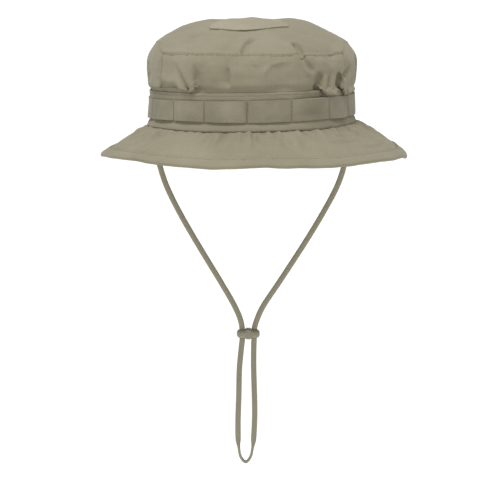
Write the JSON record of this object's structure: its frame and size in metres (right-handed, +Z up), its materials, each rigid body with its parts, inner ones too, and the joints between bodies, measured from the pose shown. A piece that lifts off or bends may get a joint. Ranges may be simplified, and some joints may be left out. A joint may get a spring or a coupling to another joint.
{
  "type": "boonie hat",
  "caption": "Soft field hat with an oval crown, a webbing strip round the crown, a flap on top, a short sloping brim and a chin cord with a slider.",
  "frame": {"origin": "centre of the head opening, level with the seam between crown and brim", "axes": "+Z up, the hat faces -Y, +X is the wearer's left"},
  "size_m": [0.259, 0.2958, 0.3838],
  "materials": {
    "ripstop": "matt woven cotton blend",
    "webbing": "woven webbing, slight sheen",
    "cord": "flat braid, matt",
    "slider": "moulded, satin"
  },
  "bodies": {
    "root": {"crown_front_panel": "ripstop", "crown_back_panel": "ripstop", "crown_top": "ripstop", "top_flap": "ripstop", "base_band": "ripstop", "webbing_band": "webbing", "brim": "ripstop", "brim_binding": "ripstop", "chin_cord": "cord", "cord_slider": "slider", "cord_tab_left": "webbing", "cord_tab_right": "webbing"}
  },
  "joints": []
}
